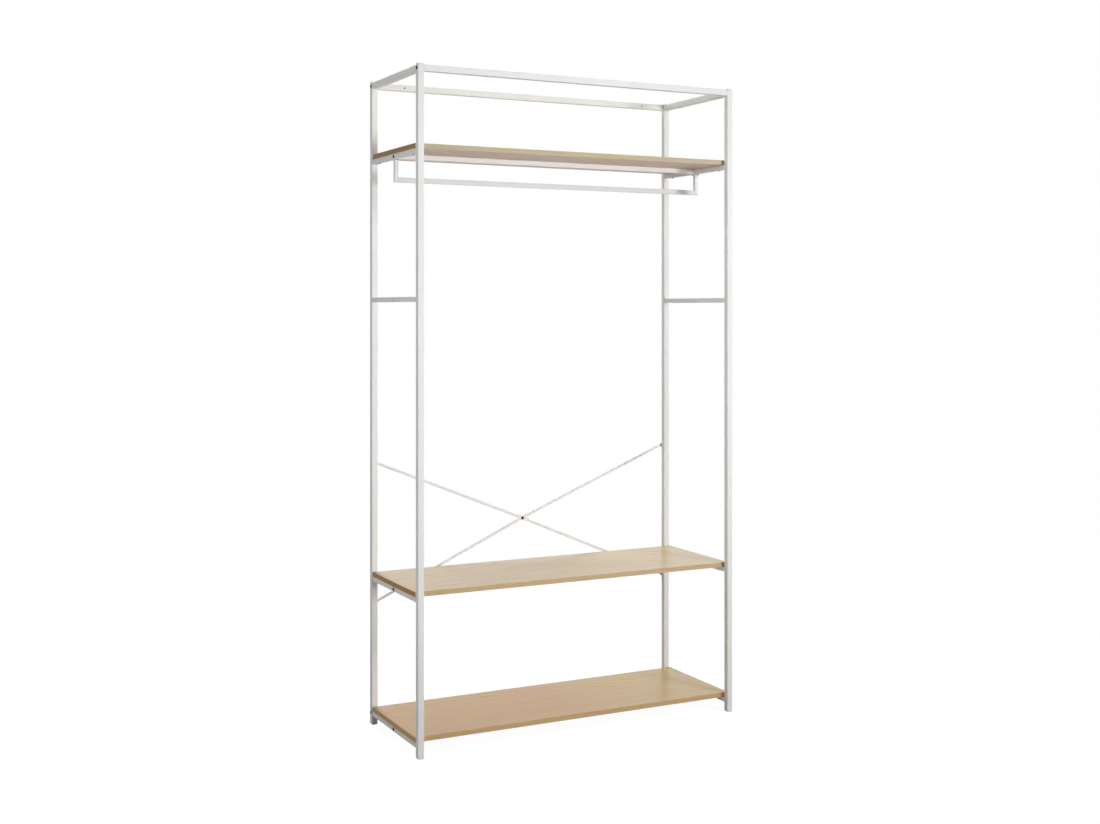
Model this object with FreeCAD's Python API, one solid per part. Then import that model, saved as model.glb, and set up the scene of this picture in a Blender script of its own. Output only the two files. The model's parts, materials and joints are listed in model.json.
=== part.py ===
import FreeCAD, Part
import math
import os

from FreeCAD import Vector

# A free-standing clothes rack of white square tube. Two side frames, each split half way up, are
# joined by long rails, three wooden boards stand on them, a hanging rail is screwed under the top
# board's side rails, and two crossed tubes brace the rear. Lengths are in millimetres. X runs to
# the right, Y to the rear and Z up. The origin is on the floor, under the middle of the rack.

# The whole rack
rack_width = 1085.0  # over the outer faces of the posts
rack_depth = 400.0  # over the front and rear faces of the posts
rack_height = 2000.0  # from the floor to the top of the caps

# Levels
middle_board_top = 478.0  # above the floor
top_bay_height = 227.0  # from the top board up to the top of the caps
free_rail_rise = 309.0  # from the joint of the posts up to the centre of the free side rails

# Square tubes: the heavy one is used for posts and long rails, the light one for what carries
# the boards, and the smallest for the hanging rail, whose bar is a little higher than deep
post_side = 19.0
post_wall = 1.0
post_corner = 2.0
rail_side = 15.0
rail_wall = 1.0
rail_corner = 1.5
hanger_side = 12.0  # width and depth of the uprights, and depth of the bar
hanger_bar_height = 15.0
hanger_wall = 1.0
hanger_corner = 1.5

# Sleeves that join the post halves
sleeve_length = 120.0
sleeve_wall = 1.2
sleeve_clearance = 0.2

# Boards
board_thickness = 15.0
board_end_inset = 0.5  # from the outer faces of the posts
board_post_gap = 6.0  # from the front and rear posts
board_corner_round = 6.0  # seen from above
board_edge_bevel = 0.5

# Feet and caps of moulded plastic, pushed into the posts
foot_height = 29.0  # below the end of the post
foot_round = 6.5
foot_plug_length = 18.0
foot_plug_floor = 3.0  # solid root of the plug, below the slots
cap_height = 3.0
cap_round = 1.2
plug_clearance = 0.25
plug_wall = 2.0
plug_rib = 1.2
plug_rib_pitch = 4.5
cap_plug_gap = 0.4  # from the end of a cap's plug to the bolt below it

# Hanging rail
hanging_drop = 62.0  # from the side rails down to the centre of the bar
flange_length = 46.0
flange_thickness = 2.0
flange_corner = 3.0
flange_screw_pitch = 30.0

# Bolts through the posts and side rails, with low domed heads and hexagon sockets
bolt_radius = 3.0
bolt_head_radius = 5.3
bolt_head_height = 1.6
bolt_socket = 4.0  # across flats
bolt_socket_depth = 2.0
bolt_hole_clearance = 0.25
thread_clearance = 0.05
end_nut_length = 12.0  # threaded block in a tube's end
end_nut_clearance = 0.1
bolt_tip = 0.8  # chamfer at the end of the shank

# Self-tapping screws of the boards and of the hanging rail
screw_radius = 2.0
screw_head_radius = 4.0
screw_head_height = 2.4
screw_hole_clearance = 0.3
board_screw_bite = 10.0  # depth of the screw in the board
board_screw_tip = 3.0
board_screw_inset = 41.0  # from the ends of a side rail
flange_screw_bite = 6.0  # past the lower wall of the side rail
flange_screw_tip = 1.5

# Rear brace: two tubes behind the rear posts, pressed flat where they are screwed, to threaded
# inserts in the posts and to each other
brace_diameter = 8.0
brace_flat = 2.4  # thickness of the pressed tube
brace_taper = 13.0  # from round to flat
brace_end_run = 10.5  # from an end's screw to the start of the taper
brace_cross_run = 11.0  # from the crossing's screw to the start of the taper
upper_left_brace_level = 818.0  # screws of the four ends
upper_right_brace_level = 828.0
lower_left_brace_level = 374.0
lower_right_brace_level = 375.0
brace_cross_right = -11.5  # place of the crossing, to the right of the middle
brace_cross_level = 607.0
brace_screw_radius = 2.5
brace_screw_head_radius = 4.7
brace_screw_head_height = 2.7
brace_screw_socket = 3.0
brace_screw_socket_depth = 1.6
brace_screw_over = 1.2  # past the nut
brace_nut_width = 8.0  # across flats
brace_nut_height = 4.0
brace_hole_clearance = 0.15
insert_length = 10.0  # threaded insert, riveted into the rear wall of a post
insert_radius = 3.4
insert_flange_radius = 4.6
insert_flange = 0.8  # thickness of the rim on the post's face
insert_bulge_radius = 4.2  # where the insert is squeezed out behind the wall
insert_bulge = 1.8
insert_clearance = 0.1

# Holes that stay open
wall_hole_radius = 2.5  # in the rear top rail
wall_hole_inset = 89.5  # from the ends of the rail
spare_hole_radius = 3.0  # through the free side rails

# Shape of every screw head, as shares of its radius and height
head_crown_share = 0.55
head_shoulder_shares = (0.84, 0.76)
head_rim_share = 0.22

cut_overrun = 1.0  # how far a cut runs past the face that it opens

RIGHT = Vector(1, 0, 0)
REAR = Vector(0, 1, 0)
UP = Vector(0, 0, 1)
SIDES = {"left": -1, "right": 1}
ROWS = {"front": -1, "rear": 1}

# Places worked out from the sizes above
half_width = rack_width / 2
half_depth = rack_depth / 2
post_x = half_width - post_side / 2
post_y = half_depth - post_side / 2
long_rail_half = half_width - post_side
side_rail_half = half_depth - post_side
beam_half = post_x - rail_side / 2
tube_top = rack_height - cap_height
tube_bottom = foot_height
post_joint_level = (tube_bottom + tube_top) / 2
free_rail_level = post_joint_level + free_rail_rise
top_rail_level = tube_top - post_side / 2
rear_bottom_level = tube_bottom + post_side / 2
board_levels = {
    "top": rack_height - top_bay_height - board_thickness,
    "middle": middle_board_top - board_thickness,
    "bottom": tube_bottom + rail_side,
}
brace_end_levels = {
    "left": (upper_left_brace_level, lower_left_brace_level),
    "right": (upper_right_brace_level, lower_right_brace_level),
}
brace_plane_y = half_depth + insert_flange + brace_flat
hanger_level = board_levels["top"] - rail_side - hanging_drop
flange_under = board_levels["top"] - rail_side - flange_thickness


def placed(shape, point, direction=UP):
    """Copy of a shape made along +Z, turned to a direction and moved to a point."""
    copy = shape.copy()
    copy.Placement = FreeCAD.Placement(point, FreeCAD.Rotation(UP, direction))
    return copy


def arc(start, middle, end):
    return Part.Arc(start, middle, end).toShape()


def rounded_oblong(width, depth, corner):
    """Wire of an oblong with round corners, centred on the Z axis."""
    flat_x = width / 2 - corner
    flat_y = depth / 2 - corner
    bow = corner * math.cos(math.pi / 4)
    edges = []
    for half_turn in (1, -1):
        x = flat_x * half_turn
        y = flat_y * half_turn
        side = corner * half_turn
        bend = bow * half_turn
        edges.append(Part.makeLine(Vector(x + side, -y, 0), Vector(x + side, y, 0)))
        edges.append(arc(Vector(x + side, y, 0), Vector(x + bend, y + bend, 0), Vector(x, y + side, 0)))
        edges.append(Part.makeLine(Vector(x, y + side, 0), Vector(-x, y + side, 0)))
        edges.append(arc(Vector(-x, y + side, 0), Vector(-x - bend, y + bend, 0), Vector(-x - side, y, 0)))
    return Part.Wire(edges)


def rounded_square(side, corner):
    return rounded_oblong(side, side, corner)


def square_bar(side, corner, length):
    return Part.Face(rounded_square(side, corner)).extrude(UP * length)


def bore_side(side, wall):
    return side - 2 * wall


def bore_corner(side, wall, corner):
    """Inner corner radius of a drawn tube, whose corners are a little thicker than its walls."""
    return corner * bore_side(side, wall) / side


def oblong_tube(width, depth, wall, corner, length):
    outer = rounded_oblong(width, depth, corner)
    inner_corner = bore_corner(min(width, depth), wall, corner)
    inner = rounded_oblong(bore_side(width, wall), bore_side(depth, wall), inner_corner)
    return Part.makeFace([outer, inner], "Part::FaceMakerBullseye").extrude(UP * length)


def square_tube(side, wall, corner, length):
    return oblong_tube(side, side, wall, corner, length)


def post_tube(length):
    return square_tube(post_side, post_wall, post_corner, length)


def rail_tube(length):
    return square_tube(rail_side, rail_wall, rail_corner, length)


def bored(shape, point, direction, radius, depth):
    """A shape with a round hole that starts at a point and also runs a little before it."""
    start = point - direction * cut_overrun
    return shape.cut(Part.makeCylinder(radius, depth + cut_overrun, start, direction))


def bored_through(shape, centre, direction, radius, width):
    """A shape with a round hole through all of a width, both sides of a centre."""
    return bored(shape, centre - direction * (width / 2), direction, radius, width + cut_overrun)


def hexagon(across_flats, height):
    corner_radius = across_flats / 2 / math.cos(math.pi / 6)
    points = []
    for turn in range(7):
        angle = turn * math.pi / 3
        points.append(Vector(corner_radius * math.cos(angle), corner_radius * math.sin(angle), 0))
    return Part.Face(Part.makePolygon(points)).extrude(UP * height)


def plain_screw(radius, length, tip, head_radius, head_height, is_domed):
    """A screw along +Z, its head below the origin. The tip is a cone as long as given."""
    tip_radius = max(radius - tip, 0)
    crown = Vector(head_radius * head_crown_share, 0, -head_height)
    shoulder_out, shoulder_down = head_shoulder_shares
    shoulder = Vector(head_radius * shoulder_out, 0, -head_height * shoulder_down)
    rim = Vector(head_radius, 0, -head_height * head_rim_share)
    shank = [
        rim,
        Vector(head_radius, 0, 0),
        Vector(radius, 0, 0),
        Vector(radius, 0, length - tip),
        Vector(tip_radius, 0, length),
    ]
    if tip_radius > 0:
        shank.append(Vector(0, 0, length))
    shank.append(Vector(0, 0, -head_height))
    shank.append(crown)
    edges = [arc(crown, shoulder, rim) if is_domed else Part.makeLine(crown, rim)]
    for start, end in zip(shank, shank[1:]):
        edges.append(Part.makeLine(start, end))
    return Part.Face(Part.Wire(edges)).revolve(Vector(), UP, 360)


def socket_bolt(radius, length, head_radius, head_height, socket, socket_depth):
    """Machine bolt with a domed head."""
    bolt = plain_screw(radius, length, bolt_tip, head_radius, head_height, True)
    recess = hexagon(socket, socket_depth + cut_overrun)
    return bolt.cut(placed(recess, UP * -(head_height + cut_overrun)))


def tapping_screw(length, tip):
    """Self-tapping screw with a bevelled head."""
    return plain_screw(screw_radius, length, tip, screw_head_radius, screw_head_height, False)


def ribbed_plug(length, rib_starts):
    """Hollow square plug up from the origin, with ribs that touch the bore of a post."""
    bore = bore_side(post_side, post_wall)
    corner = bore_corner(post_side, post_wall, post_corner)
    plug = square_tube(bore - 2 * plug_clearance, plug_wall, corner, length)
    for start in rib_starts:
        rib = square_tube(bore, plug_wall + plug_clearance, corner, plug_rib)
        plug = plug.fuse(placed(rib, UP * start))
    return plug.removeSplitter()


# Posts, sleeves, feet and caps

def bolt_hole_along_x(shape, x, y, z, width):
    centre = Vector(x, y, z)
    return bored_through(shape, centre, RIGHT, bolt_radius + bolt_hole_clearance, width)


def upper_post(x, y):
    post = placed(post_tube(tube_top - post_joint_level), Vector(x, y, post_joint_level))
    return bolt_hole_along_x(post, x, y, top_rail_level, post_side)


def lower_post(x, y):
    return placed(post_tube(post_joint_level - tube_bottom), Vector(x, y, tube_bottom))


def rear_lower_post(x, insert_levels):
    """Lower post with the bolt's holes and with holes for the inserts in its rear wall."""
    post = bolt_hole_along_x(lower_post(x, post_y), x, post_y, rear_bottom_level, post_side)
    for level in insert_levels:
        point = Vector(x, half_depth, level)
        post = bored(post, point, -REAR, insert_radius + insert_clearance, post_side / 2)
    return post


def post_sleeve(x, y):
    bore = bore_side(post_side, post_wall)
    corner = bore_corner(post_side, post_wall, post_corner)
    sleeve = square_tube(bore - 2 * sleeve_clearance, sleeve_wall, corner, sleeve_length)
    return placed(sleeve, Vector(x, y, post_joint_level - sleeve_length / 2))


def foot_side_view():
    """Face of the foot seen from one side: a block whose lower corners are round."""
    half = post_side / 2
    flat = half - foot_round
    drop = foot_round * (1 - math.cos(math.pi / 4))
    corners = [Vector(-half, 0, foot_round), Vector(-half, 0, foot_height)]
    corners += [Vector(half, 0, foot_height), Vector(half, 0, foot_round)]
    edges = [Part.makeLine(start, end) for start, end in zip(corners, corners[1:])]
    edges.append(arc(corners[3], Vector(half - drop, 0, drop), Vector(flat, 0, 0)))
    edges.append(Part.makeLine(Vector(flat, 0, 0), Vector(-flat, 0, 0)))
    edges.append(arc(Vector(-flat, 0, 0), Vector(drop - half, 0, drop), corners[0]))
    return Part.Face(Part.Wire(edges))


def foot(x, y):
    """Block under the post, round below, and a ribbed plug slotted for the bolt of a rear post."""
    block = square_bar(post_side, post_corner, foot_height)
    slab = foot_side_view().extrude(REAR * post_side)
    slab.translate(REAR * (-post_side / 2))
    block = block.common(slab)
    slab.rotate(Vector(), UP, 90)
    block = block.common(slab)
    ribs = [foot_plug_floor + plug_rib_pitch * step for step in range(3)]
    plug = ribbed_plug(foot_plug_length, ribs)
    root_side = bore_side(post_side, post_wall) - 2 * plug_clearance - plug_wall
    plug = plug.fuse(square_bar(root_side, plug_wall, foot_plug_floor))
    slot_width = 2 * (bolt_radius + 2 * bolt_hole_clearance)
    slot_bottom = rear_bottom_level - tube_bottom - slot_width / 2
    slot_corner = Vector(-post_side / 2, -slot_width / 2, slot_bottom)
    slot = Part.makeBox(post_side, slot_width, foot_plug_length, slot_corner)
    plug = plug.cut(slot)
    whole = block.fuse(placed(plug, UP * foot_height)).removeSplitter()
    return placed(whole, Vector(x, y, 0))


def post_cap(x, y):
    """Flat cap with a short plug that ends above the bolt of the post."""
    lid = square_bar(post_side, post_corner, cap_height)
    rim = [edge for edge in lid.Edges if min(v.Z for v in edge.Vertexes) > cap_height / 2]
    lid = lid.makeFillet(cap_round, rim)
    plug_length = tube_top - top_rail_level - bolt_radius - cap_plug_gap
    plug = ribbed_plug(plug_length, [(plug_length - plug_rib) / 2])
    cap = lid.fuse(placed(plug, UP * -plug_length)).removeSplitter()
    return placed(cap, Vector(x, y, tube_top))


# Rails and beams

def side_rail(tube, x, level):
    return placed(tube, Vector(x, -side_rail_half, level), REAR)


def top_side_rail(x):
    return side_rail(post_tube(2 * side_rail_half), x, top_rail_level)


def free_side_rail(x):
    rail = side_rail(rail_tube(2 * side_rail_half), x, free_rail_level)
    centre = Vector(x, 0, free_rail_level)
    return bored_through(rail, centre, RIGHT, spare_hole_radius, rail_side)


def board_screw_places(x, under):
    """Points where the screws of one side rail enter it from below."""
    reach = side_rail_half - board_screw_inset
    return [Vector(x, row * reach, under) for row in ROWS.values()]


def flange_screw_places(x):
    """Points on the underside of a flange, in front of and behind the upright."""
    return [Vector(x, row * flange_screw_pitch / 2, flange_under) for row in ROWS.values()]


def board_side_rail(x, board_level, carries_hanger):
    """Light rail under a board, with holes for the beam's bolt and for the screws."""
    level = board_level - rail_side / 2
    rail = side_rail(rail_tube(2 * side_rail_half), x, level)
    rail = bolt_hole_along_x(rail, x, 0, level, rail_side)
    for point in board_screw_places(x, board_level - rail_side):
        rail = bored(rail, point, UP, screw_radius + screw_hole_clearance, rail_side + cut_overrun)
    if carries_hanger:
        for point in flange_screw_places(x):
            depth = flange_thickness + rail_side / 2
            rail = bored(rail, point, UP, screw_radius + thread_clearance, depth)
    return rail


def long_rail(y, level):
    return placed(post_tube(2 * long_rail_half), Vector(-long_rail_half, y, level), RIGHT)


def rear_top_rail():
    rail = long_rail(post_y, top_rail_level)
    for side in SIDES.values():
        centre = Vector(side * (long_rail_half - wall_hole_inset), post_y, top_rail_level)
        rail = bored_through(rail, centre, REAR, wall_hole_radius, post_side)
    return rail


def board_beam(board_level):
    """Middle beam under a board, between the two side rails."""
    level = board_level - rail_side / 2
    return placed(rail_tube(2 * beam_half), Vector(-beam_half, 0, level), RIGHT)


def board(level):
    """Wooden board with round corners, bevelled edges and blind holes for its four screws."""
    length = rack_width - 2 * board_end_inset
    depth = rack_depth - 2 * (post_side + board_post_gap)
    face = Part.Face(rounded_oblong(length, depth, board_corner_round))
    panel = placed(face.extrude(UP * board_thickness), UP * level)
    rims = [edge for edge in panel.Edges if edge.BoundBox.ZLength < board_thickness / 2]
    panel = panel.makeChamfer(board_edge_bevel, rims)
    hole_depth = board_screw_bite + thread_clearance
    for side in SIDES.values():
        for point in board_screw_places(side * post_x, level):
            panel = bored(panel, point, UP, screw_radius + thread_clearance, hole_depth)
    return panel


# Hanging rail: a bar and two uprights, mitred and welded at the corners

def mitre_wedge(side, below):
    """Wedge outside or inside the corner's diagonal, as deep as the tube and a little more."""
    reach = hanger_side / 2 + cut_overrun
    drop = reach * hanger_bar_height / hanger_side
    outer = Vector(side * (post_x + reach), 0, hanger_level - drop)
    inner = Vector(side * (post_x - reach), 0, hanger_level + drop)
    third = Vector(inner.x, 0, outer.z) if below else Vector(outer.x, 0, inner.z)
    face = Part.Face(Part.makePolygon([outer, inner, third, outer]))
    face.translate(REAR * -reach)
    return face.extrude(REAR * (2 * reach))


def hanging_bar():
    half = post_x + hanger_side / 2
    tube = oblong_tube(hanger_bar_height, hanger_side, hanger_wall, hanger_corner, 2 * half)
    bar = placed(tube, Vector(-half, 0, hanger_level), RIGHT)
    for side in SIDES.values():
        bar = bar.cut(mitre_wedge(side, False))
    return bar


def hanger_upright(side):
    bottom = hanger_level - hanger_bar_height / 2
    tube = square_tube(hanger_side, hanger_wall, hanger_corner, flange_under - bottom)
    return placed(tube, Vector(side * post_x, 0, bottom)).cut(mitre_wedge(side, True))


def hanger_flange(side):
    """Plate between an upright and its side rail."""
    corner = Vector(side * post_x - rail_side / 2, -flange_length / 2, flange_under)
    plate = Part.makeBox(rail_side, flange_length, flange_thickness, corner)
    upright_edges = [edge for edge in plate.Edges if edge.BoundBox.ZLength > flange_thickness / 2]
    plate = plate.makeFillet(flange_corner, upright_edges)
    depth = flange_thickness + cut_overrun
    for point in flange_screw_places(side * post_x):
        plate = bored(plate, point, UP, screw_radius + screw_hole_clearance, depth)
    return plate


# Rear brace

def pressed_width():
    """Width of the tube once pressed flat, with its girth unchanged."""
    return math.pi * (brace_diameter - brace_flat) / 2 + brace_flat


def outline(across, centre, corners, middles):
    """Closed wire round a run, through corners given across it and behind it. A side bends
    through its middle, and is straight where it has none."""
    def point(pair):
        return centre + across * pair[0] + REAR * pair[1]

    edges = []
    for start, middle, end in zip(corners, middles, corners[1:] + corners[:1]):
        if middle:
            edges.append(arc(point(start), point(middle), point(end)))
        else:
            edges.append(Part.makeLine(point(start), point(end)))
    return Part.Wire(edges)


def flat_outline(across, centre, stretch):
    """The pressed tube: two flats and four quarter bends. The stretch widens it on a mitre."""
    half = (pressed_width() - brace_flat) / 2 * stretch
    bend = brace_flat / 2
    bow = bend * math.cos(math.pi / 4)
    corners = [(-half, bend), (half, bend), (half + bend, 0)]
    corners += [(half, -bend), (-half, -bend), (-half - bend, 0)]
    middles = [None, (half + bow, bow), (half + bow, -bow)]
    middles += [None, (-half - bow, -bow), (-half - bow, bow)]
    return outline(across, centre, corners, middles)


def round_outline(across, centre):
    """The round tube, parted where the flats of the pressed one begin and end."""
    radius = brace_diameter / 2
    half_angle = (pressed_width() - brace_flat) / brace_diameter

    def on_circle(angle):
        return (radius * math.sin(angle), radius * math.cos(angle))

    angles = [-half_angle, half_angle, math.pi / 2, math.pi - half_angle]
    angles += [math.pi + half_angle, 3 * math.pi / 2, 2 * math.pi - half_angle]
    corners = [on_circle(angle) for angle in angles[:-1]]
    middles = [on_circle((start + end) / 2) for start, end in zip(angles, angles[1:])]
    return outline(across, centre, corners, middles)


def end_trim(hole, away, across):
    """What is cut off a rod's end, so that it is a half round about its hole."""
    radius = pressed_width() / 2
    reach = radius + cut_overrun
    corners = [hole - across * reach, hole + across * reach]
    corners += [hole + across * reach + away * reach, hole - across * reach + away * reach]
    face = Part.Face(Part.makePolygon(corners + corners[:1]))
    face.translate(REAR * -brace_diameter)
    block = face.extrude(REAR * (2 * brace_diameter))
    start = hole - REAR * brace_diameter
    return block.cut(Part.makeCylinder(radius, 2 * brace_diameter, start, REAR))


def brace_rod(left_level, right_level, cross_step):
    """One rod from post to post. The step is the place of its flat at the crossing, before or
    behind the plane between the two rods, and its ends lie on the rims of the inserts."""
    left = Vector(-post_x, brace_plane_y, left_level)
    cross = Vector(brace_cross_right, brace_plane_y, brace_cross_level)
    right = Vector(post_x, brace_plane_y, right_level)
    first_run = (cross - left).normalize()
    second_run = (right - cross).normalize()
    middle_run = (first_run + second_run).normalize()
    end_step = REAR * (-brace_flat / 2)
    tip = pressed_width() / 2

    def across(run):
        return run.cross(REAR)

    def half_run(hole, inward, run):
        """Outlines from a rod's end to the start of the crossing's flat."""
        length = (cross - hole).Length
        taper_end = brace_end_run + brace_taper
        taper_start = length - brace_cross_run - brace_taper
        return [
            flat_outline(across(run), hole - inward * tip + end_step, 1),
            flat_outline(across(run), hole + inward * brace_end_run + end_step, 1),
            round_outline(across(run), hole + inward * taper_end),
            round_outline(across(run), hole + inward * taper_start),
            flat_outline(across(run), cross - inward * brace_cross_run + cross_step, 1),
        ]

    mitre = 1 / middle_run.dot(first_run)
    outlines = half_run(left, first_run, first_run)
    outlines.append(flat_outline(across(middle_run), cross + cross_step, mitre))
    outlines += reversed(half_run(right, -second_run, second_run))
    rod = Part.makeLoft(outlines, True, True)
    rod = rod.cut(end_trim(left, -first_run, across(first_run)))
    rod = rod.cut(end_trim(right, second_run, across(second_run)))
    for hole in (left, cross, right):
        rod = bored_through(rod, hole, REAR, brace_screw_radius + brace_hole_clearance, brace_diameter)
    return rod


def brace_end_places():
    """Points on the rear faces of the posts, where the ends of the brace are screwed."""
    places = []
    for side_name, side in SIDES.items():
        for level in brace_end_levels[side_name]:
            places.append(Vector(side * post_x, half_depth, level))
    return places


# Fasteners

def end_nut(side, wall, corner):
    """Threaded block that fills the end of a square tube, up from the origin."""
    block_side = bore_side(side, wall) - 2 * end_nut_clearance
    block = square_bar(block_side, bore_corner(side, wall, corner), end_nut_length)
    return bored(block, Vector(), UP, bolt_radius + thread_clearance, end_nut_length + cut_overrun)


def long_rail_ends():
    """Side, y and level of each bolted end of the three long rails."""
    places = []
    for side in SIDES.values():
        places.append((side, -post_y, top_rail_level))
        places.append((side, post_y, top_rail_level))
        places.append((side, post_y, rear_bottom_level))
    return places


def beam_ends():
    """Side, y and level of each bolted end of the beams."""
    places = []
    for side in SIDES.values():
        for level in board_levels.values():
            places.append((side, 0, level - rail_side / 2))
    return places


def group(solids):
    return Part.makeCompound(solids)


def bolts(ends, face_x, grip):
    """Bolts with their heads on the outer faces at face_x, that end inside the tube's nut."""
    bolt = socket_bolt(bolt_radius, grip + end_nut_length, bolt_head_radius, bolt_head_height,
                       bolt_socket, bolt_socket_depth)
    return group([placed(bolt, Vector(side * face_x, y, z), RIGHT * -side) for side, y, z in ends])


def nuts(nut, ends, end_x):
    return group([placed(nut, Vector(side * end_x, y, z), RIGHT * -side) for side, y, z in ends])


def board_screws():
    screw = tapping_screw(rail_side + board_screw_bite, board_screw_tip)
    solids = []
    for side in SIDES.values():
        for level in board_levels.values():
            for point in board_screw_places(side * post_x, level - rail_side):
                solids.append(placed(screw, point))
    return group(solids)


def flange_screws():
    screw = tapping_screw(flange_thickness + rail_wall + flange_screw_bite, flange_screw_tip)
    solids = []
    for side in SIDES.values():
        for point in flange_screw_places(side * post_x):
            solids.append(placed(screw, point))
    return group(solids)


def brace_insert():
    """Threaded insert with its rim on the origin's plane, squeezed out behind the post's wall."""
    flange = Part.makeCylinder(insert_flange_radius, insert_flange, UP * -insert_flange)
    barrel = Part.makeCylinder(insert_radius, insert_length)
    slope = insert_bulge_radius - insert_radius
    start = post_wall
    whole = flange.fuse(barrel)
    for first, last, length in (
        (insert_radius, insert_bulge_radius, slope),
        (insert_bulge_radius, insert_bulge_radius, insert_bulge),
        (insert_bulge_radius, insert_radius, slope),
    ):
        if first == last:
            ring = Part.makeCylinder(first, length, UP * start)
        else:
            ring = Part.makeCone(first, last, length, UP * start)
        whole = whole.fuse(ring)
        start += length
    whole = whole.removeSplitter()
    depth = insert_flange + insert_length + cut_overrun
    return bored(whole, UP * -insert_flange, UP, brace_screw_radius + thread_clearance, depth)


def brace_inserts():
    insert = brace_insert()
    return group([placed(insert, point, -REAR) for point in brace_end_places()])


def brace_screw(length):
    return socket_bolt(brace_screw_radius, length, brace_screw_head_radius, brace_screw_head_height,
                       brace_screw_socket, brace_screw_socket_depth)


def brace_screws():
    """Four screws from behind into the inserts, and one from the front through the crossing."""
    end_screw = brace_screw(brace_flat + insert_flange + insert_length)
    end_step = REAR * (insert_flange + brace_flat)
    solids = [placed(end_screw, point + end_step, -REAR) for point in brace_end_places()]
    cross_screw = brace_screw(2 * brace_flat + brace_nut_height + brace_screw_over)
    cross_front = Vector(brace_cross_right, brace_plane_y - brace_flat, brace_cross_level)
    solids.append(placed(cross_screw, cross_front, REAR))
    return group(solids)


def brace_nut():
    """Hexagon nut behind the crossing, its outer corners turned off at 30 degrees."""
    nut = hexagon(brace_nut_width, brace_nut_height)
    flat_radius = brace_nut_width / 2
    corner_radius = flat_radius / math.cos(math.pi / 6)
    slope = (corner_radius - flat_radius) * math.tan(math.pi / 6)
    cone = Part.makeCone(corner_radius, flat_radius, slope, UP * (brace_nut_height - slope))
    drum = Part.makeCylinder(corner_radius, brace_nut_height - slope)
    nut = nut.common(drum.fuse(cone))
    nut = bored(nut, Vector(), UP, brace_screw_radius + thread_clearance, brace_nut_height + cut_overrun)
    return placed(nut, Vector(brace_cross_right, brace_plane_y + brace_flat, brace_cross_level), REAR)


def all_pieces():
    """Every sub-part of the rack, by name."""
    pieces = {}
    for row_name, row in ROWS.items():
        for side_name, side in SIDES.items():
            corner = f"{row_name}_{side_name}"
            x = side * post_x
            y = row * post_y
            pieces[f"{corner}_upper_post"] = upper_post(x, y)
            if row_name == "rear":
                pieces[f"{corner}_lower_post"] = rear_lower_post(x, brace_end_levels[side_name])
            else:
                pieces[f"{corner}_lower_post"] = lower_post(x, y)
            pieces[f"{corner}_post_sleeve"] = post_sleeve(x, y)
            pieces[f"{corner}_foot"] = foot(x, y)
            pieces[f"{corner}_cap"] = post_cap(x, y)
    for side_name, side in SIDES.items():
        x = side * post_x
        pieces[f"{side_name}_top_side_rail"] = top_side_rail(x)
        pieces[f"{side_name}_free_side_rail"] = free_side_rail(x)
        for board_name, level in board_levels.items():
            rail = board_side_rail(x, level, board_name == "top")
            pieces[f"{side_name}_{board_name}_board_rail"] = rail
        pieces[f"{side_name}_hanger_upright"] = hanger_upright(side)
        pieces[f"{side_name}_hanger_flange"] = hanger_flange(side)
    for board_name, level in board_levels.items():
        pieces[f"{board_name}_board"] = board(level)
        pieces[f"{board_name}_board_beam"] = board_beam(level)
    pieces["front_top_rail"] = long_rail(-post_y, top_rail_level)
    pieces["rear_top_rail"] = rear_top_rail()
    pieces["rear_bottom_rail"] = long_rail(post_y, rear_bottom_level)
    pieces["hanging_bar"] = hanging_bar()
    pieces["brace_rod_front"] = brace_rod(
        upper_left_brace_level, lower_right_brace_level, REAR * (-brace_flat / 2))
    pieces["brace_rod_rear"] = brace_rod(
        lower_left_brace_level, upper_right_brace_level, REAR * (brace_flat / 2))
    pieces["post_bolts"] = bolts(long_rail_ends(), half_width, post_side)
    pieces["beam_bolts"] = bolts(beam_ends(), post_x + rail_side / 2, rail_side)
    post_nut = end_nut(post_side, post_wall, post_corner)
    rail_nut = end_nut(rail_side, rail_wall, rail_corner)
    pieces["long_rail_nuts"] = nuts(post_nut, long_rail_ends(), long_rail_half)
    pieces["beam_nuts"] = nuts(rail_nut, beam_ends(), beam_half)
    pieces["board_screws"] = board_screws()
    pieces["flange_screws"] = flange_screws()
    pieces["brace_screws"] = brace_screws()
    pieces["brace_inserts"] = brace_inserts()
    pieces["brace_nuts"] = brace_nut()
    return pieces


os.makedirs("parts", exist_ok=True)
for name, shape in all_pieces().items():
    if not shape.isValid():
        print(f"{name} is not a sound solid")
    shape.exportStep(f"parts/{name}.step")
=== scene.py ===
"""Looks of the clothes rack: materials, two small pieces, camera and studio around the part."""

import json
import math

import bpy
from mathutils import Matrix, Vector


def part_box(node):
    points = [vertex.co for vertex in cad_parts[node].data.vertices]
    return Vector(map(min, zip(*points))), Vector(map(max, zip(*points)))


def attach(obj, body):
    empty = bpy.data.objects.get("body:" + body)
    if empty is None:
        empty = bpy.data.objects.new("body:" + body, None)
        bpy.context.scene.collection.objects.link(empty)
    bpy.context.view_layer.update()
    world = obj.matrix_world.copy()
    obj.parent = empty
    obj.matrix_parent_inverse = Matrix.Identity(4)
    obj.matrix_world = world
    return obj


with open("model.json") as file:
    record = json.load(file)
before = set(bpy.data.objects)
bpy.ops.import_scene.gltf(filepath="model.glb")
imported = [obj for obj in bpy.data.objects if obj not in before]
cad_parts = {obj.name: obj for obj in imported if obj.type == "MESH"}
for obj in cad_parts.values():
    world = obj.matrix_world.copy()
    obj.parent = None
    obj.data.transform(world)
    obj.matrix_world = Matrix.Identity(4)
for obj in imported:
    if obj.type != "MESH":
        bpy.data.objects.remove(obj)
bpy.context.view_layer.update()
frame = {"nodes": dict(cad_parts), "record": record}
nodes = frame["nodes"]


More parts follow.
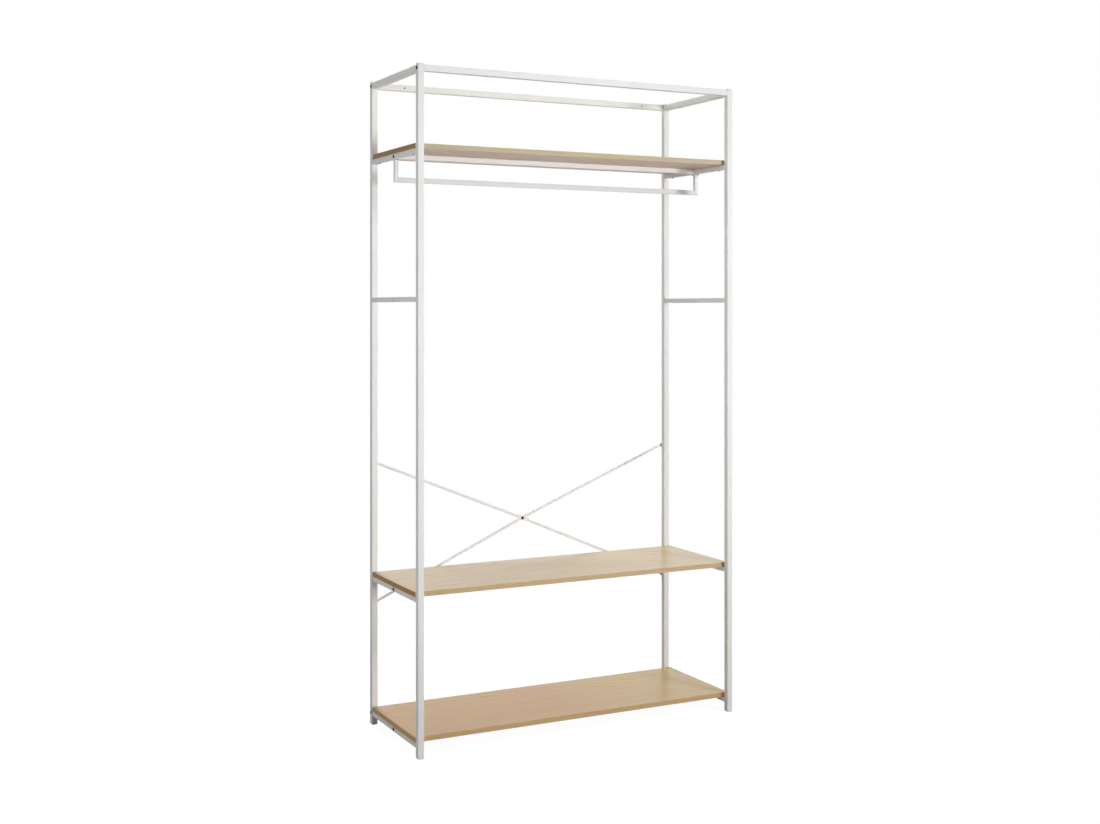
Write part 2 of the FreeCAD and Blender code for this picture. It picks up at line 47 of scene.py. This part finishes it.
# Camera of the photograph, in pixels of its 1100 by 824 frame, metres and degrees
PHOTO_WIDTH = 1100
PHOTO_HEIGHT = 824
FOCAL_PIXELS = 1408.02
CENTRE_ACROSS = 535.60
CENTRE_DOWN = 308.36
CAMERA_PLACE = (-2.05759, -3.95394, 1.29591)
CAMERA_TILT = 90  # up from straight down, so the camera is level
CAMERA_YAW = 26.751
CAMERA_REACH = 100
SENSOR_WIDTH = 36.0


def make_camera():
    """The camera that took the photograph, level and shifted in its frame."""
    data = bpy.data.cameras.new("camera")
    data.sensor_fit = "HORIZONTAL"
    data.sensor_width = SENSOR_WIDTH
    data.lens = FOCAL_PIXELS / PHOTO_WIDTH * SENSOR_WIDTH
    data.shift_x = (PHOTO_WIDTH / 2 - CENTRE_ACROSS) / PHOTO_WIDTH
    data.shift_y = (CENTRE_DOWN - PHOTO_HEIGHT / 2) / PHOTO_WIDTH
    data.clip_end = CAMERA_REACH
    camera = bpy.data.objects.new("camera", data)
    camera.location = CAMERA_PLACE
    camera.rotation_euler = (math.radians(CAMERA_TILT), 0, math.radians(-CAMERA_YAW))
    bpy.context.scene.collection.objects.link(camera)
    bpy.context.scene.camera = camera


# Material helpers
ALONG_X, ALONG_Y, ALONG_Z = range(3)
FULL = (0.0, 1.0)
WHITE = (1, 1, 1, 1)

# Colour sockets of a Mix node
MIX_FIRST = 6
MIX_SECOND = 7
MIX_RESULT = 2

BEVEL_SAMPLES = 6
OCCLUSION_SAMPLES = 5
EDGE_SPAN = (0.02, 0.22)  # how far the rounded normal turns away along an edge
FACING_SPAN = (0.75, 0.85)  # part of the normal along an axis, on faces across that axis
DOWNWARD_SPAN = (-0.75, -0.85)

# Curve of the colours in a picture
CURVE_KNEE = 0.04045
CURVE_SLOPE = 12.92
CURVE_OFFSET = 0.055
CURVE_POWER = 2.4


class Nodes:
    """A new node material, with short ways to add its nodes."""

    def __init__(self, name):
        self.material = bpy.data.materials.new(name)
        self.material.use_nodes = True
        self.tree = self.material.node_tree
        self.tree.nodes.clear()
        self.output = self.tree.nodes.new("ShaderNodeOutputMaterial")
        self.shader = self.tree.nodes.new("ShaderNodeBsdfPrincipled")
        self.join(self.shader.outputs["BSDF"], self.output.inputs["Surface"])

    def join(self, source, target):
        self.tree.links.new(source, target)

    def put(self, value, socket):
        """A number or colour goes on the socket, an output is linked to it."""
        if isinstance(value, bpy.types.NodeSocket):
            self.join(value, socket)
        else:
            socket.default_value = value

    def place(self, stretch=(1, 1, 1), shift=(0, 0, 0)):
        """Object coordinates in metres, stretched and shifted."""
        source = self.tree.nodes.new("ShaderNodeTexCoord")
        mapping = self.tree.nodes.new("ShaderNodeMapping")
        mapping.inputs["Scale"].default_value = stretch
        mapping.inputs["Location"].default_value = shift
        self.join(source.outputs["Object"], mapping.inputs["Vector"])
        return mapping.outputs["Vector"]

    def noise(self, stretch, shift=(0, 0, 0), detail=2.0, roughness=0.5, distortion=0.0):
        """Noise with stretch cells to the metre along X, Y and Z."""
        node = self.tree.nodes.new("ShaderNodeTexNoise")
        node.inputs["Scale"].default_value = 1.0
        node.inputs["Detail"].default_value = detail
        node.inputs["Roughness"].default_value = roughness
        node.inputs["Distortion"].default_value = distortion
        self.join(self.place(stretch, shift), node.inputs["Vector"])
        return node.outputs["Fac"]

    def spread(self, value, span, result=FULL):
        """What lies in the span of value is spread over the result."""
        node = self.tree.nodes.new("ShaderNodeMapRange")
        node.clamp = True
        ends = ("From Min", "From Max", "To Min", "To Max")
        for end, number in zip(ends, (*span, *result)):
            node.inputs[end].default_value = number
        self.join(value, node.inputs["Value"])
        return node.outputs["Result"]

    def maths(self, operation, first, second=0.0):
        node = self.tree.nodes.new("ShaderNodeMath")
        node.operation = operation
        self.put(first, node.inputs[0])
        self.put(second, node.inputs[1])
        return node.outputs["Value"]

    def mix(self, share, first, second, way="MIX"):
        """Colour first, with share of second mixed in."""
        node = self.tree.nodes.new("ShaderNodeMix")
        node.data_type = "RGBA"
        node.blend_type = way
        self.put(share, node.inputs["Factor"])
        self.put(first, node.inputs[MIX_FIRST])
        self.put(second, node.inputs[MIX_SECOND])
        return node.outputs[MIX_RESULT]

    def bump(self, height, depth, normal):
        """A bump of depth metres on top of a normal."""
        node = self.tree.nodes.new("ShaderNodeBump")
        node.inputs["Strength"].default_value = 1.0
        node.inputs["Distance"].default_value = depth
        self.join(height, node.inputs["Height"])
        self.join(normal, node.inputs["Normal"])
        return node.outputs["Normal"]

    def soft_edges(self, radius):
        """The normal with every edge rounded by radius metres."""
        node = self.tree.nodes.new("ShaderNodeBevel")
        node.samples = BEVEL_SAMPLES
        node.inputs["Radius"].default_value = radius
        return node.outputs["Normal"]

    def edge_share(self, radius, share):
        """share along sharp edges and 0 on faces, from how far the rounded normal turns away."""
        rounded = self.soft_edges(radius)
        flat = self.tree.nodes.new("ShaderNodeNewGeometry").outputs["Normal"]
        node = self.tree.nodes.new("ShaderNodeVectorMath")
        node.operation = "DOT_PRODUCT"
        self.join(rounded, node.inputs[0])
        self.join(flat, node.inputs[1])
        turned = self.maths("SUBTRACT", 1.0, node.outputs["Value"])
        return self.maths("MULTIPLY", self.spread(turned, EDGE_SPAN), share)

    def coordinate(self, kind, axis):
        """One axis of a texture coordinate, such as Normal or Generated."""
        source = self.tree.nodes.new("ShaderNodeTexCoord")
        parts = self.tree.nodes.new("ShaderNodeSeparateXYZ")
        self.join(source.outputs[kind], parts.inputs["Vector"])
        return parts.outputs[axis]

    def along(self, axis):
        """0 to 1 from one end of the object's box to the other."""
        return self.coordinate("Generated", axis)

    def facing(self, axis):
        """1 on the faces that look along or against an axis of the object."""
        return self.spread(self.maths("ABSOLUTE", self.coordinate("Normal", axis)), FACING_SPAN)

    def looking_down(self):
        """1 on the faces that look down."""
        return self.spread(self.coordinate("Normal", ALONG_Z), DOWNWARD_SPAN)

    def open_share(self, reach):
        """1 on open faces, 0 where other faces close in within reach metres."""
        node = self.tree.nodes.new("ShaderNodeAmbientOcclusion")
        node.samples = OCCLUSION_SAMPLES
        node.inputs["Distance"].default_value = reach
        return node.outputs["AO"]

    def set(self, **values):
        """Values or outputs for the shader, by the names of its sockets."""
        for name, value in values.items():
            self.put(value, self.shader.inputs[name.replace("_", " ")])


def rgb(hex_code):
    """A colour written as in a picture, in the linear values of a shader socket."""
    linear = []
    for start in (0, 2, 4):
        value = int(hex_code[start:start + 2], 16) / 255
        if value <= CURVE_KNEE:
            linear.append(value / CURVE_SLOPE)
        else:
            linear.append(((value + CURVE_OFFSET) / (1 + CURVE_OFFSET)) ** CURVE_POWER)
    return (*linear, 1.0)


# White powder coat. Here and below, a noise has stretch cells to the metre, radii, depths and
# roundings are in metres, and a span is the part of a noise that is spread over a result
COAT_LIGHT = "f0f0ee"
COAT_DARK = "ebebe9"
COAT_GLOSS = 0.28
COAT_PEEL = {"stretch": (1100, 1100, 1100), "roughness": 0.45}
COAT_WAVES = {"stretch": (180, 180, 180), "detail": 1.0}
COAT_CLOUDS = {"stretch": (7, 7, 4), "detail": 3.0}
COAT_CLOUD_SPAN = (0.3, 0.7)
COAT_SPECKS = {"stretch": (2600, 2600, 2600), "detail": 0.0}
COAT_SPECK_SPAN = (0.68, 0.80)
COAT_SPECK_SHARE = 0.35
COAT_SPECK_TINT = "d6d5d0"
COAT_EDGE_RADIUS = 0.0009
COAT_EDGE_SHARE = 0.30
COAT_EDGE_TINT = "d2d1cb"
COAT_PEEL_SHARE = 0.6
COAT_WAVE_SHARE = 0.4
COAT_ROUGH_SPAN = (0.25, 0.75)
COAT_ROUGHNESS = (0.36, 0.44)
COAT_DEPTH = 0.00002
COAT_ROUNDING = 0.0007
INSIDE_REACH = 0.05  # of the painted shade inside the rear top rail, which shows through its holes
INSIDE_SPAN = (0.12, 0.42)
INSIDE_SHADE_TINT = "0d0c0c"


def powder_coat(name, light=COAT_LIGHT, dark=COAT_DARK, gloss=COAT_GLOSS, painted_shade_inside=False):
    """White powder coat: a fine orange-peel skin, thinner and greyer along the edges, and, if
    asked, painted shade in its hollows.
    """
    m = Nodes(name)
    peel = m.maths("MULTIPLY", m.noise(**COAT_PEEL), COAT_PEEL_SHARE)
    waves = m.maths("MULTIPLY", m.noise(**COAT_WAVES), COAT_WAVE_SHARE)
    clouds = m.noise(**COAT_CLOUDS)
    specks = m.spread(m.noise(**COAT_SPECKS), COAT_SPECK_SPAN, (0.0, COAT_SPECK_SHARE))
    edges = m.edge_share(COAT_EDGE_RADIUS, COAT_EDGE_SHARE)
    colour = m.mix(m.spread(clouds, COAT_CLOUD_SPAN), rgb(light), rgb(dark))
    colour = m.mix(specks, colour, rgb(COAT_SPECK_TINT))
    colour = m.mix(edges, colour, rgb(COAT_EDGE_TINT))
    # Painted shade: near-black where other faces close in, inside the tube
    if painted_shade_inside:
        outside = m.spread(m.open_share(INSIDE_REACH), INSIDE_SPAN)
        colour = m.mix(outside, rgb(INSIDE_SHADE_TINT), colour)
    m.set(
        Base_Color=colour,
        Roughness=m.spread(clouds, COAT_ROUGH_SPAN, COAT_ROUGHNESS),
        Specular_IOR_Level=gloss,
        Normal=m.bump(m.maths("ADD", peel, waves), COAT_DEPTH, m.soft_edges(COAT_ROUNDING)),
    )
    return m.material


# Tints of each board: left and right part of its faces, long edges, ends, underside. They hold
# painted light and shade on one oak print: each board and face is tinted for the light it gets, the
# faces get paler to the right, and the darker ends are partly edge band and partly painted shade
BOARD_TINTS_WITH_PAINTED_LIGHT = {
    "top_board": ("d6be94", "d6be94", "c5b99c", "a68851", "e6c8b2"),
    "middle_board": ("e9d1a5", "f9e1b6", "ceb590", "be8e48", "c9b08a"),
    "bottom_board": ("e0b77e", "e7c88a", "d0b081", "ddb06c", "c9b08a"),
}
PAINTED_LIGHT_SPAN = (0.50, 0.75)  # of the board's length, from its left end, over which the faces get paler to the right as painted light

OAK_NOISES = {
    "drift": {"stretch": (4.2, 8.0, 9.0)},
    "band": {"stretch": (1.1, 42.0, 60.0), "detail": 3.0, "roughness": 0.55, "distortion": 0.25},
    "streak": {"stretch": (3.2, 210.0, 210.0), "detail": 4.0, "roughness": 0.65},
    "fibre": {"stretch": (14.0, 900.0, 900.0), "roughness": 0.6},
    "pore": {"stretch": (34.0, 620.0, 620.0), "shift": (3.0, 1.0, 2.0), "detail": 1.0},
    "dash": {
        "stretch": (11.0, 210.0, 210.0),
        "shift": (1.0, 4.0, 2.0),
        "detail": 1.0,
        "distortion": 0.5,
    },
    "patch": {"stretch": (3.4, 9.0, 9.0), "shift": (7.0, 3.0, 1.0), "detail": 1.0},
    "arch": {
        "stretch": (1.3, 9.0, 12.0),
        "shift": (5.0, 2.0, 7.0),
        "detail": 1.0,
        "distortion": 0.6,
    },
}
ARCH_RINGS = 150.0  # how often the rings repeat as the arches rise
DRIFT_SPAN = (0.36, 0.64)
DRIFT_TINTS = ("fcfbeb", "fcf9ff")
# Each layer over the drift: its noise, its span, its largest share, its tint
OAK_LAYERS = (
    ("band", (0.42, 0.68), 0.32, "eee6dd"),
    ("rings", (0.55, 1.0), 0.12, "e9d2bd"),
    ("streak", (0.52, 0.78), 0.15, "dccdb9"),
    ("fibre", (0.40, 0.75), 0.12, "cdbca6"),
)
DASH_SPAN = (0.63, 0.70)
PATCH_SPAN = (0.50, 0.62)
DASH_SHARE = 0.42
DASH_TINT = "c2a283"
PORE_SPAN = (0.66, 0.74)
PORE_SHARE = 0.30
PORE_TINT = "b79c7c"
OAK_EDGE_RADIUS = 0.0007
OAK_EDGE_SHARE = 0.25
OAK_EDGE_TINT = "9c7f56"
FIBRE_HEIGHT = 0.25  # of a pore's depth
OAK_ROUGH_SPAN = (0.2, 0.8)
OAK_ROUGHNESS = (0.25, 0.32)
OAK_GLOSS = 0.5
OAK_GLOSS_LOSS = 0.46  # on the ends and the underside
OAK_DEPTH = 0.00003
OAK_ROUNDING = 0.0005


def oak_board(name, left, right, edge, end, under):
    """Oak print under a satin melamine skin: grain along the board, short pores, drifting tints,
    and painted light and shade in the tints of its faces.
    """
    m = Nodes(name)
    noises = {layer: m.noise(**values) for layer, values in OAK_NOISES.items()}
    noises["rings"] = m.maths("SINE", m.maths("MULTIPLY", noises["arch"], ARCH_RINGS))

    ends = m.facing(ALONG_X)
    below = m.looking_down()
    # Painted light and shade: a tint for each face by the light it gets, paler to the right, and
    # darker ends that are partly edge band
    base = m.mix(m.spread(m.along(ALONG_X), PAINTED_LIGHT_SPAN), rgb(left), rgb(right))
    base = m.mix(m.facing(ALONG_Y), base, rgb(edge))
    base = m.mix(ends, base, rgb(end))
    base = m.mix(below, base, rgb(under))

    tone = m.mix(m.spread(noises["drift"], DRIFT_SPAN), *map(rgb, DRIFT_TINTS))
    for layer, span, share, tint in OAK_LAYERS:
        tone = m.mix(m.spread(noises[layer], span, (0.0, share)), tone, rgb(tint))
    dashes = m.spread(noises["dash"], DASH_SPAN)
    dashes = m.maths("MULTIPLY", dashes, m.spread(noises["patch"], PATCH_SPAN))
    pores = m.spread(noises["pore"], PORE_SPAN)
    tone = m.mix(m.maths("MULTIPLY", dashes, DASH_SHARE), tone, rgb(DASH_TINT))
    tone = m.mix(m.maths("MULTIPLY", pores, PORE_SHARE), tone, rgb(PORE_TINT))

    colour = m.mix(1.0, base, tone, "MULTIPLY")
    colour = m.mix(m.edge_share(OAK_EDGE_RADIUS, OAK_EDGE_SHARE), colour, rgb(OAK_EDGE_TINT))
    relief = m.maths("SUBTRACT", m.maths("MULTIPLY", noises["fibre"], FIBRE_HEIGHT), pores)
    dull = m.maths("MULTIPLY", m.maths("MAXIMUM", ends, below), OAK_GLOSS_LOSS)
    m.set(
        Base_Color=colour,
        Roughness=m.spread(noises["streak"], OAK_ROUGH_SPAN, OAK_ROUGHNESS),
        Specular_IOR_Level=m.maths("SUBTRACT", OAK_GLOSS, dull),
        Normal=m.bump(relief, OAK_DEPTH, m.soft_edges(OAK_ROUNDING)),
    )
    return m.material


# Finishes of the small pieces: two tints that drift, lighter edges (rubbed on the metal, a painted
# highlight on the plastic) and a fine grain that sets the roughness and the bump
GRAIN_SPAN = (0.3, 0.7)
BLACK_BOLT = {  # blackened steel, a little lighter where the edges are rubbed
    "tints": ("0e0c0b", "141211"),
    "clouds": {"stretch": (260, 260, 260)},
    "cloud_span": (0.3, 0.7),
    "grain": {"stretch": (1500, 1500, 1500)},
    "roughness": (0.42, 0.56),
    "depth": 0.00004,
    "rounding": 0.0003,
    "edges": (0.0004, 0.4, "3a3836"),
    "shader": {"Specular_IOR_Level": 0.12},
}
ZINC_SCREW = {  # zinc plate with a faint yellow and blue drift and turned marks
    "tints": ("94969a", "99968c"),
    "clouds": {"stretch": (420, 420, 420)},
    "cloud_span": (0.35, 0.65),
    "grain": {"stretch": (2200, 2200, 500)},
    "roughness": (0.28, 0.44),
    "depth": 0.00003,
    "rounding": 0.0002,
    "edges": (0.0003, 0.4, "e2e3e4"),
    "shader": {"Metallic": 1.0},
}
BARE_STEEL = {  # cut plain steel: the sleeves and threaded blocks inside the tubes
    "tints": ("a3a5a7", "8e8f8e"),
    "clouds": {"stretch": (60, 60, 60)},
    "cloud_span": (0.3, 0.7),
    "grain": {"stretch": (900, 900, 60), "detail": 3.0},
    "roughness": (0.34, 0.52),
    "depth": 0.00004,
    "rounding": 0.0003,
    "edges": None,
    "shader": {"Metallic": 1.0},
}
FINE_PLASTIC = {  # moulded plastic with a fine spark-eroded skin
    "clouds": {"stretch": (40, 40, 40)},
    "cloud_span": (0.3, 0.7),
    "grain": {"stretch": (1700, 1700, 1700), "roughness": 0.6},
    "roughness": (0.46, 0.58),
    "depth": 0.00006,
    "rounding": 0.0006,
    # The lighter edges of the plastic pieces are a painted highlight
    "edges": (0.0011, 0.55, "f2f2f0"),
    "shader": {},
}
FOOT_PLASTIC = FINE_PLASTIC | {"tints": ("f3f3f0", "ededea")}
CAP_PLASTIC = FINE_PLASTIC | {"tints": ("e6e6e4", "e0e0dc")}


def grained(name, values):
    """A finish of the small pieces, from its values above."""
    m = Nodes(name)
    grain = m.noise(**values["grain"])
    clouds = m.noise(**values["clouds"])
    colour = m.mix(m.spread(clouds, values["cloud_span"]), *map(rgb, values["tints"]))
    if values["edges"]:
        radius, share, tint = values["edges"]
        colour = m.mix(m.edge_share(radius, share), colour, rgb(tint))
    m.set(
        Base_Color=colour,
        Roughness=m.spread(grain, GRAIN_SPAN, values["roughness"]),
        Normal=m.bump(grain, values["depth"], m.soft_edges(values["rounding"])),
        **values["shader"],
    )
    return m.material


# Coats of single pieces with painted light: lighter tints on the brace rods, and greyer tints on
# the hanging bar as painted shade
LIT_ROD_LIGHT = "f3f3f3"
LIT_ROD_DARK = "efefef"
ROD_GLOSS = 1.0
SHADED_BAR_LIGHT = "e4e3e2"
SHADED_BAR_DARK = "dfdedd"


def dress_nodes():
    """Every node keeps its shape and gets a finish of its own or its slot's."""
    finishes = {
        "white_steel": powder_coat("white_powder_coat"),
        "black_steel": grained("black_bolt", BLACK_BOLT),
        "zinc_steel": grained("zinc_screw", ZINC_SCREW),
        "bare_steel": grained("bare_steel", BARE_STEEL),
        "foot_plastic": grained("foot_plastic_skin", FOOT_PLASTIC),
        "cap_plastic": grained("cap_plastic_skin", CAP_PLASTIC),
    }
    # Painted light: the brace rods' coat is lighter
    rod = powder_coat("white_powder_coat_glossy_painted_light", LIT_ROD_LIGHT, LIT_ROD_DARK, ROD_GLOSS)
    single = {
        # The rear top rail gets painted shade inside, seen through its holes
        "rear_top_rail": powder_coat("white_powder_coat_bare_inside", painted_shade_inside=True),
        "brace_rod_front": rod,
        "brace_rod_rear": rod,
        # Painted shade: the hanging bar's coat is greyer
        "hanging_bar": powder_coat("white_powder_coat_bar_painted_shade", SHADED_BAR_LIGHT, SHADED_BAR_DARK),
    }
    for name, tints in BOARD_TINTS_WITH_PAINTED_LIGHT.items():
        single[name] = oak_board("oak_" + name, *tints)
    slots = {part["node"]: part["material_slot"] for part in frame["record"]["subparts"]}
    for name, piece in nodes.items():
        for place in piece.material_slots:
            place.material = single[name] if name in single else finishes[slots[name]]
    return finishes


# The spare hole of a free side rail goes through its outer wall only, so a disc closes the inner
# one. The first two sizes are the part's own, in metres
SPARE_HOLE_RADIUS = 0.003
RAIL_WALL = 0.001
RIM_POINTS = 32


def close_inner_hole(side, finish):
    """A flush disc in the inner wall of one free side rail."""
    low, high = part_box(f"{side}_free_side_rail")
    start = high[ALONG_X] - RAIL_WALL if side == "left" else low[ALONG_X]
    middle = [(a + b) / 2 for a, b in zip(low, high)]
    points = []
    for x in (start, start + RAIL_WALL):
        for turn in range(RIM_POINTS):
            angle = math.tau * turn / RIM_POINTS
            across = SPARE_HOLE_RADIUS * math.cos(angle)
            up = SPARE_HOLE_RADIUS * math.sin(angle)
            points.append((x, middle[ALONG_Y] + across, middle[ALONG_Z] + up))
    near = list(range(RIM_POINTS))
    far = [RIM_POINTS + i for i in near]
    following = near[1:] + near[:1]
    faces = [(i, j, far[j], far[i]) for i, j in zip(near, following)]
    faces += [near[::-1], far]
    mesh = bpy.data.meshes.new(f"{side}_free_rail_inner_wall")
    mesh.from_pydata(points, [], faces)
    mesh.materials.append(finish)
    disc = bpy.data.objects.new(mesh.name, mesh)
    bpy.context.scene.collection.objects.link(disc)
    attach(disc, "root")


# Studio, in metres. Floor spans are distances from the middle of the rack
FLOOR_SIZE = 24.0
FLOOR_DROP = 0.0004  # below the feet
FLOOR_GLOW = 0.955  # near the rack, where it leaves room for the shadow
FLOOR_SHADE = (0.16, 0.16, 0.16, 1)
FLOOR_WHITE_SPAN = (1.3, 2.6)
FLOOR_BOUNCE_SPAN = (0.7, 2.8)
FLOOR_BOUNCE = (0.45, 0.85)
WORLD_LEVEL = 0.045  # of the soft light that comes from all sides

# Each lamp: name, place, the point it looks at, width, height, spread in degrees, watts
LAMPS = (
    ("key", (1.87, -5.00, 1.15), (-0.35, 0.0, 1.50), 1.05, 1.05, 70, 29),
    ("high", (2.00, -4.40, 3.60), (-0.10, 0.0, 0.80), 1.05, 1.05, 70, 9),
    ("left", (-6.76, -1.81, 1.50), (0.0, -0.55, 1.60), 1.2, 2.6, 40, 10),
    ("top", (-0.5, -0.08, 4.40), (0.0, 0.0, 1.00), 1.2, 1.2, 180, 20),
    ("rear", (-0.05, 3.20, 3.00), (0.0, 0.0, 0.60), 1.0, 1.2, 180, 86),
)


def floor_material():
    """White with a faint shadow where it is seen, and a duller bounce for all other light."""
    m = Nodes("floor_white")
    add = m.tree.nodes.new
    m.tree.nodes.remove(m.shader)
    reach = add("ShaderNodeVectorMath")
    reach.operation = "LENGTH"
    m.join(m.place(), reach.inputs[0])
    distance = reach.outputs["Value"]

    bounce = add("ShaderNodeBsdfDiffuse")
    m.join(m.spread(distance, FLOOR_BOUNCE_SPAN, FLOOR_BOUNCE), bounce.inputs["Color"])

    shaded = add("ShaderNodeBsdfDiffuse")
    shaded.inputs["Color"].default_value = FLOOR_SHADE
    glow = add("ShaderNodeEmission")
    glow.inputs["Strength"].default_value = FLOOR_GLOW
    near = add("ShaderNodeAddShader")
    m.join(glow.outputs["Emission"], near.inputs[0])
    m.join(shaded.outputs["BSDF"], near.inputs[1])
    white = add("ShaderNodeEmission")
    white.inputs["Strength"].default_value = 1.0

    looks = add("ShaderNodeMixShader")
    m.join(m.spread(distance, FLOOR_WHITE_SPAN), looks.inputs["Fac"])
    m.join(near.outputs["Shader"], looks.inputs[1])
    m.join(white.outputs["Emission"], looks.inputs[2])

    path = add("ShaderNodeLightPath")
    seen = m.maths("MAXIMUM", path.outputs["Is Camera Ray"], path.outputs["Is Glossy Ray"])
    choice = add("ShaderNodeMixShader")
    m.join(seen, choice.inputs["Fac"])
    m.join(bounce.outputs["BSDF"], choice.inputs[1])
    m.join(looks.outputs["Shader"], choice.inputs[2])
    m.join(choice.outputs["Shader"], m.output.inputs["Surface"])
    return m.material


def make_floor():
    """A pale floor that looks white, with a faint shadow of the rack close to its feet."""
    mesh = bpy.data.meshes.new("floor")
    half = FLOOR_SIZE / 2
    corners = [(-half, -half, 0), (half, -half, 0), (half, half, 0), (-half, half, 0)]
    mesh.from_pydata(corners, [], [(0, 1, 2, 3)])
    mesh.materials.append(floor_material())
    floor = bpy.data.objects.new("floor", mesh)
    floor.location.z = -FLOOR_DROP
    bpy.context.scene.collection.objects.link(floor)


def make_world():
    """White where it is seen, and an even soft light elsewhere."""
    world = bpy.data.worlds.new("studio")
    bpy.context.scene.world = world
    world.use_nodes = True
    tree = world.node_tree
    tree.nodes.clear()
    path = tree.nodes.new("ShaderNodeLightPath")
    seen = path.outputs["Is Camera Ray"]
    for ray in ("Is Glossy Ray", "Is Transmission Ray"):
        either = tree.nodes.new("ShaderNodeMath")
        either.operation = "MAXIMUM"
        tree.links.new(seen, either.inputs[0])
        tree.links.new(path.outputs[ray], either.inputs[1])
        seen = either.outputs["Value"]
    level = tree.nodes.new("ShaderNodeMapRange")
    level.inputs["To Min"].default_value = WORLD_LEVEL
    level.inputs["To Max"].default_value = 1.0
    tree.links.new(seen, level.inputs["Value"])
    ground = tree.nodes.new("ShaderNodeBackground")
    ground.inputs["Color"].default_value = WHITE
    tree.links.new(level.outputs["Result"], ground.inputs["Strength"])
    output = tree.nodes.new("ShaderNodeOutputWorld")
    tree.links.new(ground.outputs["Background"], output.inputs["Surface"])


def make_lamps():
    """Five soft lamps that no reflection shows."""
    for name, place, target, width, height, spread, power in LAMPS:
        data = bpy.data.lights.new(name, "AREA")
        data.shape = "RECTANGLE"
        data.size = width
        data.size_y = height
        data.spread = math.radians(spread)
        data.energy = power
        lamp = bpy.data.objects.new(name, data)
        lamp.location = place
        way = Vector(target) - Vector(place)
        lamp.rotation_euler = way.to_track_quat("-Z", "Y").to_euler()
        lamp.visible_glossy = False
        bpy.context.scene.collection.objects.link(lamp)


make_camera()
slot_finishes = dress_nodes()
for rack_side in ("left", "right"):
    close_inner_hole(rack_side, slot_finishes["white_steel"])
make_floor()
make_world()
make_lamps()

bpy.context.scene.view_settings.view_transform = "Standard"
